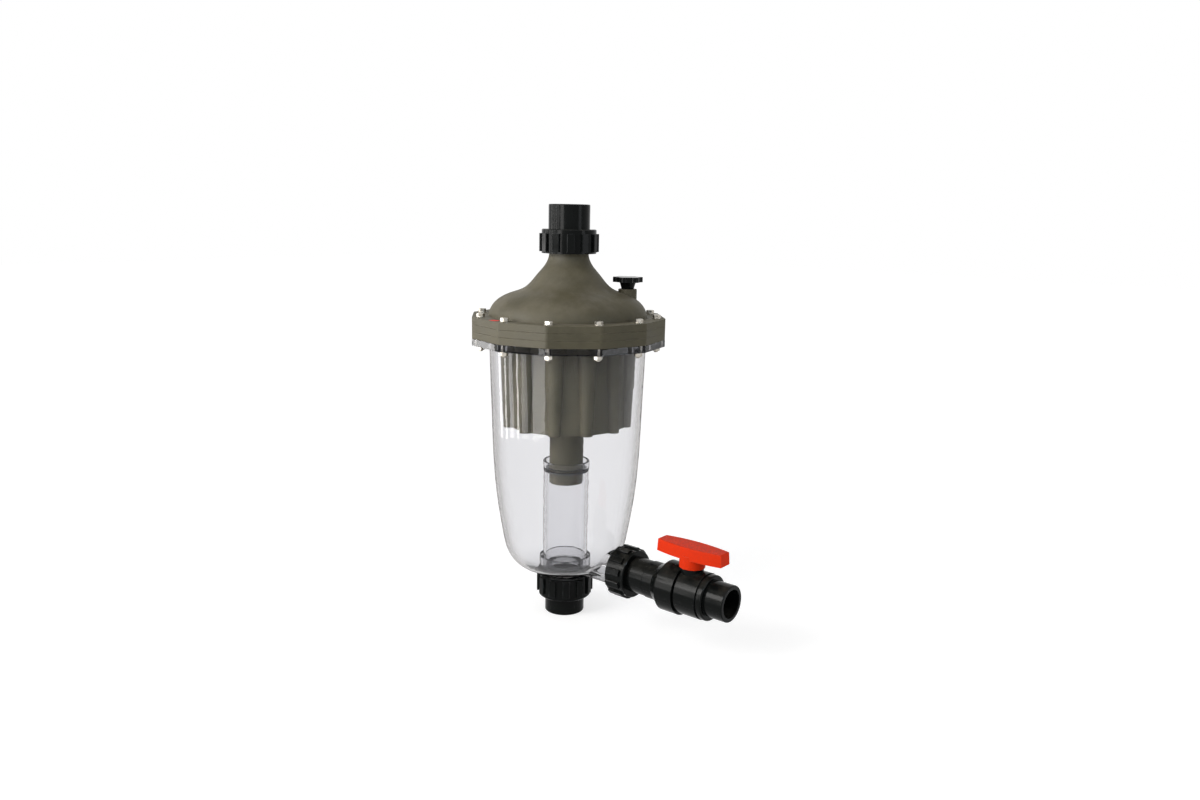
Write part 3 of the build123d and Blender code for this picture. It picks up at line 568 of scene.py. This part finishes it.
def rounded_outline(reach, radius):
    """Outline with as many rounded corners as the flange has, one corner on +X."""
    half = math.pi / COUNT
    side = reach * math.cos(half) + SLACK
    centre = (side - radius) / math.cos(half)
    points = []
    for i in range(COUNT):
        corner = 2 * math.pi * i / COUNT
        for k in range(CORNER_STEPS + 1):
            angle = corner - half + 2 * half * k / CORNER_STEPS
            points.append((centre * math.cos(corner) + radius * math.cos(angle),
                           centre * math.sin(corner) + radius * math.sin(angle)))
    return points


def rounding_block(reach, radius):
    """Tall closed block; what lies inside it keeps its shape."""
    outline = rounded_outline(reach, radius)
    cut = bmesh.new()
    low, top = CAD_BOX[0].z - BLOCK_BEYOND, CAD_BOX[1].z + BLOCK_BEYOND
    foot = [cut.verts.new((x, y, low)) for x, y in outline]
    head = [cut.verts.new((x, y, top)) for x, y in outline]
    join_rings(cut, foot, head)
    cut.faces.new(list(reversed(foot)))
    cut.faces.new(head)
    mesh = bpy.data.meshes.new("rounding_block")
    cut.to_mesh(mesh)
    cut.free()
    return link_piece("rounding_block", mesh)


def rounded_rim(node, name, material, sizes):
    """Stands for a flanged CAD solid: the same shape with its twelve corners rounded."""
    piece = cad_copy(node, name, material, False)
    block = rounding_block(sizes.flange_reach, sizes.flange_corner)
    block.data.materials.append(material)
    trim = piece.modifiers.new("corners", "BOOLEAN")
    trim.operation = "INTERSECT"
    trim.solver = "EXACT"
    trim.object = block
    settle(piece)
    bpy.data.objects.remove(block)
    smooth_shaded(piece, RIM_CRISP)
    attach(piece, "vessel")
    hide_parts(node)


def circle_tree():
    """Geometry nodes that set copies of a mesh out on a circle about Z."""
    name = "Set out on a circle"
    if name in bpy.data.node_groups:
        return bpy.data.node_groups[name]
    tree = bpy.data.node_groups.new(name, "GeometryNodeTree")
    face = tree.interface
    face.new_socket("Geometry", in_out="INPUT", socket_type="NodeSocketGeometry")
    for label, kind in (("Count", "Int"), ("Circle radius", "Float"), ("Turn", "Float"),
                        ("Random turn", "Float"), ("Seed", "Int"), ("Material", "Material")):
        face.new_socket(label, in_out="INPUT", socket_type="NodeSocket" + kind)
    face.new_socket("Geometry", in_out="OUTPUT", socket_type="NodeSocketGeometry")
    nodes = Nodes(tree)
    given = nodes.add("NodeGroupInput").outputs
    out = nodes.add("NodeGroupOutput")
    index = nodes.add("GeometryNodeInputIndex").outputs[0]
    step = nodes.math("DIVIDE", 2 * math.pi, given["Count"])
    angle = nodes.math("ADD", nodes.math("MULTIPLY", index, step), given["Turn"])
    across = nodes.math("MULTIPLY", nodes.math("COSINE", angle), given["Circle radius"])
    along = nodes.math("MULTIPLY", nodes.math("SINE", angle), given["Circle radius"])
    place = nodes.add("ShaderNodeCombineXYZ", {0: across, 1: along})
    points = nodes.add("GeometryNodePoints", {"Count": given["Count"], "Position": place.outputs[0]})
    chance = nodes.add("FunctionNodeRandomValue", {"Seed": given["Seed"]}, data_type="FLOAT")
    nodes.put(chance.inputs[3], given["Random turn"])
    spin = nodes.add("ShaderNodeCombineXYZ", {2: nodes.math("ADD", angle, chance.outputs[1])})
    copies = nodes.add("GeometryNodeInstanceOnPoints",
                       {"Points": points.outputs[0], "Instance": given["Geometry"],
                        "Rotation": spin.outputs[0]})
    whole = nodes.add("GeometryNodeRealizeInstances", {0: copies.outputs[0]})
    dressed = nodes.add("GeometryNodeSetMaterial", {"Geometry": whole.outputs[0],
                                                    "Material": given["Material"]})
    nodes.put(out.inputs[0], dressed.outputs[0])
    return tree


def set_out(piece, radius, turn, random_turn, seed, material):
    """Copies a mesh round the filter's axis and keeps the result as a plain mesh."""
    ring = piece.modifiers.new("ring", "NODES")
    ring.node_group = circle_tree()
    values = {"Count": COUNT, "Circle radius": radius, "Turn": turn, "Random turn": random_turn,
              "Seed": seed, "Material": material}
    for item in ring.node_group.interface.items_tree:
        if item.in_out == "INPUT" and item.name in values:
            ring[item.identifier] = values[item.name]
    return settle(piece)


# Points round each turned or six-sided shape
HEAD_STEPS = 36
THREAD_STEPS = 20
WASHER_STEPS = 32
# Bolt heads and nuts: chamfer circle as a share of half the width, and its slope
CHAMFER_SHARE = 0.96
CHAMFER_SLOPE = 0.5
# Bolts: depth of thread and narrowing of the tip as shares of pitch and depth, height of the tip,
# how far the thread goes on above the nut, its run-out, and how far the shank goes into the head
THREAD_DEPTH = 0.5
TIP_SHARE = 1.4
TIP_HEIGHT = 0.0006
THREAD_ABOVE_NUT = 0.006
THREAD_RUN_OUT = 0.001
SHANK_IN_HEAD = 0.0005
# Where a thread's crest starts and ends, as shares of the pitch
CREST = (0.40, 0.55)
# Washers: room round the bolt, and their small chamfer
WASHER_ROOM = 0.0003
WASHER_CHAMFER = 0.0002


def circle_points(radius, height, steps):
    """Points on a level circle about Z."""
    angles = [2 * math.pi * i / steps for i in range(steps)]
    return [(radius * math.cos(angle), radius * math.sin(angle), height) for angle in angles]


def lathe(cut, points, steps):
    """Adds a closed shape turned about Z from (radius, height) points."""
    rings = []
    for radius, height in points:
        places = circle_points(radius, height, steps) if radius > TINY else [(0.0, 0.0, height)]
        rings.append([cut.verts.new(place) for place in places])
    for low, high in zip(rings, rings[1:] + rings[:1]):
        join_rings(cut, low, high)


def join_rings(cut, low, high):
    """Joins two rings of points with faces. A ring of one point is a tip."""
    if len(low) == 1 and len(high) == 1:
        return
    steps = max(len(low), len(high))
    for i in range(steps):
        j = (i + 1) % steps
        if len(low) == 1:
            cut.faces.new((low[0], high[j], high[i]))
        elif len(high) == 1:
            cut.faces.new((low[i], low[j], high[0]))
        else:
            cut.faces.new((low[i], low[j], high[j], high[i]))


def hexagon_rings(cut, flats, levels):
    """Six-sided rings about Z, joined. Each level is (height, chamfer circle or None)."""
    rings = []
    for height, circle in levels:
        # The lowest level's chamfer rises towards the corners, and the top one's falls.
        slope = CHAMFER_SLOPE if height == levels[0][0] else -CHAMFER_SLOPE
        ring = []
        for i in range(HEAD_STEPS):
            angle = 2 * math.pi * i / HEAD_STEPS
            reach = flats / 2 / math.cos((angle % (math.pi / 3)) - math.pi / 6)
            z = height
            if circle is not None and reach > circle:
                z = height + (reach - circle) * slope
            ring.append(cut.verts.new((reach * math.cos(angle), reach * math.sin(angle), z)))
        rings.append(ring)
    for low, high in zip(rings, rings[1:]):
        join_rings(cut, low, high)
    return rings


def cap(cut, ring, radius, height, upward):
    """Closes a ring with a flat disc of a smaller radius."""
    inner = [cut.verts.new(place) for place in circle_points(radius, height, len(ring))]
    middle = [cut.verts.new((0.0, 0.0, height))]
    if upward:
        join_rings(cut, ring, inner)
        join_rings(cut, inner, middle)
    else:
        join_rings(cut, inner, ring)
        join_rings(cut, middle, inner)


def mesh_piece(name, cut, material):
    """Turns a closed shape into a smooth-shaded piece with its faces outwards."""
    bmesh.ops.remove_doubles(cut, verts=cut.verts, dist=TINY)
    bmesh.ops.recalc_face_normals(cut, faces=cut.faces)
    mesh = bpy.data.meshes.new(name)
    cut.to_mesh(mesh)
    cut.free()
    for face in mesh.polygons:
        face.use_smooth = True
    mesh.set_sharp_from_angle(angle=FASTENER_CRISP)
    mesh.materials.append(material)
    return link_piece(name, mesh)


def thread_profile(radius, depth, low, high, pitch):
    """Points up the side of a thread, drawn as close rings."""
    points = []
    rings = int((high - low) / pitch)
    for i in range(rings):
        foot = low + i * pitch
        points.append((radius - depth, foot))
        points.extend((radius, foot + share * pitch) for share in CREST)
    points.append((radius - depth, low + rings * pitch))
    return points


def bolt_mesh(sizes, material):
    """One flange bolt: chamfered hexagon head, shank and threaded end."""
    cut = bmesh.new()
    chamfer = sizes.head_flats / 2 * CHAMFER_SHARE
    rings = hexagon_rings(cut, sizes.head_flats, [(WASHER_TOP, None), (BOLT_TOP, chamfer)])
    cap(cut, rings[1], chamfer, BOLT_TOP, True)
    cap(cut, rings[0], chamfer, WASHER_TOP, False)
    radius = sizes.bolt_radius
    depth = sizes.thread_pitch * THREAD_DEPTH
    thread_top = NUT_TOP + THREAD_ABOVE_NUT
    shank_top = WASHER_TOP + SHANK_IN_HEAD
    tip = [(0.0, BOLT_LOW), (radius - depth * TIP_SHARE, BOLT_LOW)]
    side = thread_profile(radius, depth, BOLT_LOW + TIP_HEIGHT, thread_top, sizes.thread_pitch)
    shank = [(radius, thread_top + THREAD_RUN_OUT), (radius, shank_top), (0.0, shank_top)]
    lathe(cut, tip + side + shank, THREAD_STEPS)
    return mesh_piece("flange_bolt_set", cut, material)


def nut_mesh(sizes, material):
    """One hexagon nut with both faces chamfered."""
    cut = bmesh.new()
    chamfer = sizes.head_flats / 2 * CHAMFER_SHARE
    outer = hexagon_rings(cut, sizes.head_flats, [(NUT_LOW, chamfer), (NUT_TOP, chamfer)])
    bores = []
    for ring, height in zip(outer, (NUT_LOW, NUT_TOP)):
        face = [cut.verts.new(place) for place in circle_points(chamfer, height, len(ring))]
        bore = [cut.verts.new(place) for place in circle_points(sizes.bolt_radius, height, len(ring))]
        join_rings(cut, ring, face)
        join_rings(cut, face, bore)
        bores.append(bore)
    join_rings(cut, *bores)
    return mesh_piece("flange_nut_set", cut, material)


def washer_mesh(sizes, material):
    """A pair of washers, one on the lid's flange and one under the bowl's."""
    cut = bmesh.new()
    inner = sizes.bolt_radius + WASHER_ROOM
    outer = sizes.washer_radius
    rim = outer - WASHER_CHAMFER
    for low in (WASHER_TOP - WASHER_THICK, WASHER_LOW):
        top = low + WASHER_THICK
        lathe(cut, [(inner, low), (rim, low), (outer, low + WASHER_CHAMFER), (outer, top - WASHER_CHAMFER),
                    (rim, top), (inner, top)], WASHER_STEPS)
    return mesh_piece("flange_washer_set", cut, material)


# Operators

class FILTER_OT_olive(bpy.types.Operator):
    """Finish the lid, the plates, the cyclones and the riser pipe"""
    bl_idname = "filter.olive_mouldings"
    bl_label = "Olive mouldings"

    def execute(self, context):
        olive = olive_plastic(context.scene.filter_finish)
        sizes = context.scene.filter_sizes
        dress(("riser_pipe",), olive)
        rounded_rim("lid_dome", "lid_cover", olive, sizes)
        rounded_rim("vortex_finder_plate", "finder_plate", olive, sizes)
        rounded_rim("cyclone_pack", "cyclone_ring", olive, sizes)
        return {"FINISHED"}


class FILTER_OT_clear(bpy.types.Operator):
    """Finish the clear bowl, the stand pipe and its collar"""
    bl_idname = "filter.clear_mouldings"
    bl_label = "Clear mouldings"

    def execute(self, context):
        finish = context.scene.filter_finish
        dress(("bowl",), clear_plastic(finish, "clear_bowl", *BOWL_DEPTH))
        dress(("standpipe", "standpipe_collar"), clear_plastic(finish, "clear_pipe", *PIPE_DEPTH))
        return {"FINISHED"}


class FILTER_OT_fittings(bpy.types.Operator):
    """Make the union nuts, the tails, the valve and the bleed knob"""
    bl_idname = "filter.black_fittings"
    bl_label = "Black fittings"

    def execute(self, context):
        finish = context.scene.filter_finish
        edge = context.scene.filter_sizes.edge
        black = black_plastic(finish)
        dress(("bleed_screw", "drain_nipple", "valve_stem", "valve_ball"), black)
        unions = ("outlet", "inlet", "drain")
        for union in unions:
            softened(union + "_union_nut", union + "_union_grip", edge, union + "_nut",
                     black)
        for union in unions:
            softened(union + "_tail", union + "_tail_end", edge, "vessel", black)
        softened("valve_body", "valve_barrel", edge, "vessel", black)
        softened("valve_end", "valve_mouth", edge, "vessel", black)
        softened("bleed_knob", "bleed_grip", edge, "bleed_valve", black)
        return {"FINISHED"}


class FILTER_OT_handle(bpy.types.Operator):
    """Make the red handle of the drain valve"""
    bl_idname = "filter.valve_handle"
    bl_label = "Valve handle"

    def execute(self, context):
        red = red_plastic(context.scene.filter_finish)
        softened("valve_handle", "valve_lever", context.scene.filter_sizes.edge, "handle",
                 red)
        return {"FINISHED"}


class FILTER_OT_seals(bpy.types.Operator):
    """Finish the seal rings and the seats of the ball"""
    bl_idname = "filter.seals"
    bl_label = "Seals and seats"

    def execute(self, context):
        finish = context.scene.filter_finish
        dress(("riser_seal_ring", "bowl_o_ring", "plate_o_ring", "lid_o_ring", "inlet_o_ring",
               "outlet_o_ring", "drain_o_ring", "stem_o_ring", "bleed_o_ring"), rubber(finish))
        dress(("valve_seats",), seat_plastic(finish))
        return {"FINISHED"}


# What is set out round the flange, the node that it stands for, its random turn and the seed of that
FASTENERS = ((bolt_mesh, "flange_bolts", 1.0, 5),
             (nut_mesh, "flange_nuts", 1.0, 9),
             (washer_mesh, "flange_washers", 0.0, 1))


class FILTER_OT_fasteners(bpy.types.Operator):
    """Set the bolts, washers and nuts out round the flange"""
    bl_idname = "filter.fasteners"
    bl_label = "Flange fasteners"

    def execute(self, context):
        sizes = context.scene.filter_sizes
        steel = plated_steel(context.scene.filter_finish)
        for make, node, random_turn, seed in FASTENERS:
            piece = make(sizes, steel)
            set_out(piece, sizes.bolt_circle, 0.0, random_turn, seed, steel)
            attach(piece, "vessel")
            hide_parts(node)
        return {"FINISHED"}


# Studio

# Window panes at the left, seen only as reflections: turn in degrees, brightness and width
WINDOWS = ((50.0, 10.0, 0.38), (28.0, 6.0, 0.20), (16.0, 18.0, 0.07), (4.0, 8.0, 0.16),
           (-9.0, 11.0, 0.06), (-22.0, 6.0, 0.12))
WINDOW_REACH = 1.15
WINDOW_MIDDLE = (0.0, 0.0, 0.68)
WINDOW_HEIGHT = 1.22
# Lamps: name, place as the camera sees it, aim, width, height, colour, and whether it lights matte
# surfaces as well as glossy ones
WARM = (1.0, 0.985, 0.965)
MIDDLE = (0.0, 0.0, 0.42)
LAMPS = (("key", (-1.4, -0.9, 1.3), MIDDLE, 0.9, 0.9, WARM, True),
         ("bar", (0.5, -2.1, 1.55), (0.2, 0.0, 0.3), 2.2, 0.09, (0.74, 0.88, 1.0), False),
         ("top", (-0.5, -0.6, 2.2), MIDDLE, 1.2, 1.2, (1.0, 0.99, 0.98), True),
         ("fill", (1.6, -0.9, 0.9), MIDDLE, 0.5, 1.4, (0.93, 0.96, 1.0), True))
# Floor: where the lamps light it most, how far that reaches, what it then needs less of its own
# glow, that glow far away, and the share of the lamps' light and shadow that is seen
LIT_MIDDLE = (-0.8, -0.6, 0.0)
LIT_REACH = 1.1
LIT_PEAK = 0.42
GLOW_FAR = 0.92
SHADOW_DEPTH = 0.5
FLOOR_HALF = 12.0
# Camera: how far it is turned from the CAD's front, its place, its tilts in degrees and its lens
VIEW_TURN = 41.55
CAMERA_PLACE = (1.1753, -1.3261, 0.7648)
CAMERA_PITCH = 11.05
CAMERA_YAW = -2.015
CAMERA_ROLL = 1.13
CAMERA_LENS = 28.64
CAMERA_SENSOR = 36.0


def lamp(name, place, aim, power, width, height, shade, matte_too):
    """Adds a rectangular lamp that neither the camera nor clear plastic shows."""
    data = bpy.data.lights.new(name, "AREA")
    data.shape = "RECTANGLE"
    data.size = width
    data.size_y = height
    data.energy = power
    data.color = shade
    light = bpy.data.objects.new(name, data)
    light.location = place
    light.rotation_mode = "QUATERNION"
    light.rotation_quaternion = (Vector(aim) - Vector(place)).to_track_quat("-Z", "Y")
    light.visible_camera = False
    light.visible_transmission = False
    light.visible_diffuse = matte_too
    bpy.context.scene.collection.objects.link(light)


def from_view(across, ahead, up):
    """Point given as seen by the camera: to its right, away from it and upwards."""
    return Matrix.Rotation(math.radians(VIEW_TURN), 3, "Z") @ Vector((across, ahead, up))


def make_camera():
    """Puts the camera where the photograph was taken from."""
    yaw, pitch, roll = (math.radians(a) for a in (CAMERA_YAW, CAMERA_PITCH, CAMERA_ROLL))
    right = Vector((math.cos(yaw), math.sin(yaw), 0.0))
    ahead = Vector((-math.sin(yaw) * math.cos(pitch), math.cos(yaw) * math.cos(pitch),
                    -math.sin(pitch)))
    up = Vector((-math.sin(yaw) * math.sin(pitch), math.cos(yaw) * math.sin(pitch),
                 math.cos(pitch)))
    rolled = right * math.cos(roll) + up * math.sin(roll)
    up = up * math.cos(roll) - right * math.sin(roll)
    turn = Matrix.Rotation(math.radians(VIEW_TURN), 3, "Z")
    axes = [turn @ v for v in (rolled, up, -ahead)]
    data = bpy.data.cameras.new("camera")
    data.lens = CAMERA_LENS
    data.sensor_width = CAMERA_SENSOR
    camera = bpy.data.objects.new("camera", data)
    camera.matrix_world = Matrix((
        (axes[0].x, axes[1].x, axes[2].x, CAMERA_PLACE[0]),
        (axes[0].y, axes[1].y, axes[2].y, CAMERA_PLACE[1]),
        (axes[0].z, axes[1].z, axes[2].z, CAMERA_PLACE[2]),
        (0.0, 0.0, 0.0, 1.0)))
    bpy.context.scene.collection.objects.link(camera)
    bpy.context.scene.camera = camera


def seen_share(nodes):
    """One for rays that come straight from the camera, a mirror or clear plastic."""
    path = nodes.add("ShaderNodeLightPath").outputs
    seen = nodes.math("MAXIMUM", path["Is Camera Ray"], path["Is Glossy Ray"])
    seen = nodes.math("MAXIMUM", seen, path["Is Transmission Ray"])
    direct = nodes.math("LESS_THAN", path["Diffuse Depth"], 0.5)
    return nodes.math("MULTIPLY", seen, direct)


def make_world(daylight):
    """Even light all round, which is white where it is seen."""
    world = bpy.data.worlds.new("studio")
    nodes = bare_nodes(world)
    seen = seen_share(nodes)
    strength = nodes.spread(seen, 0.0, 1.0, daylight, 1.0)
    light = nodes.add("ShaderNodeBackground", {"Strength": strength})
    light.inputs["Color"].default_value = WHITE
    nodes.add("ShaderNodeOutputWorld", {"Surface": light.outputs[0]})
    bpy.context.scene.world = world


def floor_glow(nodes):
    """What the lamps leave short of white on the floor: little near them and more far away."""
    place = nodes.add("ShaderNodeTexCoord").outputs["Object"]
    offset = nodes.add("ShaderNodeVectorMath", {0: place, 1: from_view(*LIT_MIDDLE)}, operation="SUBTRACT")
    away = nodes.add("ShaderNodeVectorMath", {0: offset.outputs[0]}, operation="LENGTH").outputs["Value"]
    away = nodes.math("DIVIDE", away, LIT_REACH)
    falls = nodes.math("ADD", nodes.math("MULTIPLY", away, away), 1.0)
    lit = nodes.math("DIVIDE", LIT_PEAK, falls)
    return nodes.math("MAXIMUM", nodes.math("SUBTRACT", GLOW_FAR, lit), 0.0)


def make_floor(shade):
    """Plain pale floor under the filter, which keeps its shadow."""
    cut = bmesh.new()
    half, low = FLOOR_HALF, CAD_BOX[0].z
    corners = ((-half, -half, low), (half, -half, low), (half, half, low), (-half, half, low))
    cut.faces.new([cut.verts.new(corner) for corner in corners])
    mesh = bpy.data.meshes.new("floor")
    cut.to_mesh(mesh)
    cut.free()
    floor = link_piece("floor", mesh)
    material = bpy.data.materials.new("floor_white")
    nodes = bare_nodes(material)
    seen = seen_share(nodes)
    pale = nodes.blend(seen, rgba(shade), rgba(shade * SHADOW_DEPTH))
    matte = nodes.add("ShaderNodeBsdfDiffuse", {"Color": pale})
    strength = nodes.math("MULTIPLY", seen, floor_glow(nodes))
    glow = nodes.add("ShaderNodeEmission", {"Strength": strength})
    glow.inputs["Color"].default_value = WHITE
    both = nodes.add("ShaderNodeAddShader", {0: matte.outputs[0], 1: glow.outputs[0]})
    nodes.add("ShaderNodeOutputMaterial", {"Surface": both.outputs[0]})
    mesh.materials.append(material)


def make_windows(brightness):
    """Panes that stand upright round the filter and face it."""
    middle = Vector(WINDOW_MIDDLE)
    for i, (turn, radiance, width) in enumerate(WINDOWS):
        away = Vector((-math.cos(math.radians(turn)), -math.sin(math.radians(turn)), 0.0))
        place = from_view(*(away * WINDOW_REACH)) + middle
        power = radiance * math.pi * width * WINDOW_HEIGHT * brightness
        lamp("window_" + str(i + 1), place, middle, power, width, WINDOW_HEIGHT, WARM, False)


class FILTER_OT_stage(bpy.types.Operator):
    """Set up the floor, the lamps, the sky and the camera"""
    bl_idname = "filter.stage"
    bl_label = "Studio"

    def execute(self, context):
        studio = context.scene.filter_studio
        make_floor(studio.floor)
        make_world(studio.daylight)
        make_windows(studio.window_power)
        for name, place, aim, width, height, shade, matte_too in LAMPS:
            power = getattr(studio, name + "_power")
            lamp(name, from_view(*place), aim, power, width, height, shade, matte_too)
        make_camera()
        context.scene.view_settings.view_transform = "Standard"
        return {"FINISHED"}


class FILTER_PT_panel(bpy.types.Panel):
    """Lists the filter's pieces, finishes and sizes"""
    bl_label = "Centrifugal filter"
    bl_idname = "FILTER_PT_panel"
    bl_space_type = "VIEW_3D"
    bl_region_type = "UI"
    bl_category = "Filter"

    def draw(self, context):
        for step in STEPS:
            self.layout.operator(step.bl_idname)
        for group in (context.scene.filter_finish, context.scene.filter_sizes,
                      context.scene.filter_studio):
            box = self.layout.box()
            for key in type(group).__annotations__:
                box.prop(group, key)


STEPS = (FILTER_OT_olive, FILTER_OT_clear, FILTER_OT_fittings, FILTER_OT_handle, FILTER_OT_seals,
         FILTER_OT_fasteners, FILTER_OT_stage)
GROUPS = {"filter_finish": FilterFinish, "filter_sizes": FilterSizes, "filter_studio": FilterStudio}


def register():
    """Makes the classes and their properties known to Blender."""
    for kind in (*GROUPS.values(), *STEPS, FILTER_PT_panel):
        bpy.utils.register_class(kind)
    for name, group in GROUPS.items():
        setattr(bpy.types.Scene, name, bpy.props.PointerProperty(type=group))


def unregister():
    """Takes them away again."""
    for name in GROUPS:
        delattr(bpy.types.Scene, name)
    for kind in (FILTER_PT_panel, *reversed(STEPS), *reversed(GROUPS.values())):
        bpy.utils.unregister_class(kind)


def main():
    register()
    for step in STEPS:
        family, action = step.bl_idname.split(".")
        result = getattr(getattr(bpy.ops, family), action)()
        if result != {"FINISHED"}:
            raise RuntimeError(step.bl_label + " did not finish")


if __name__ == "__main__":
    main()
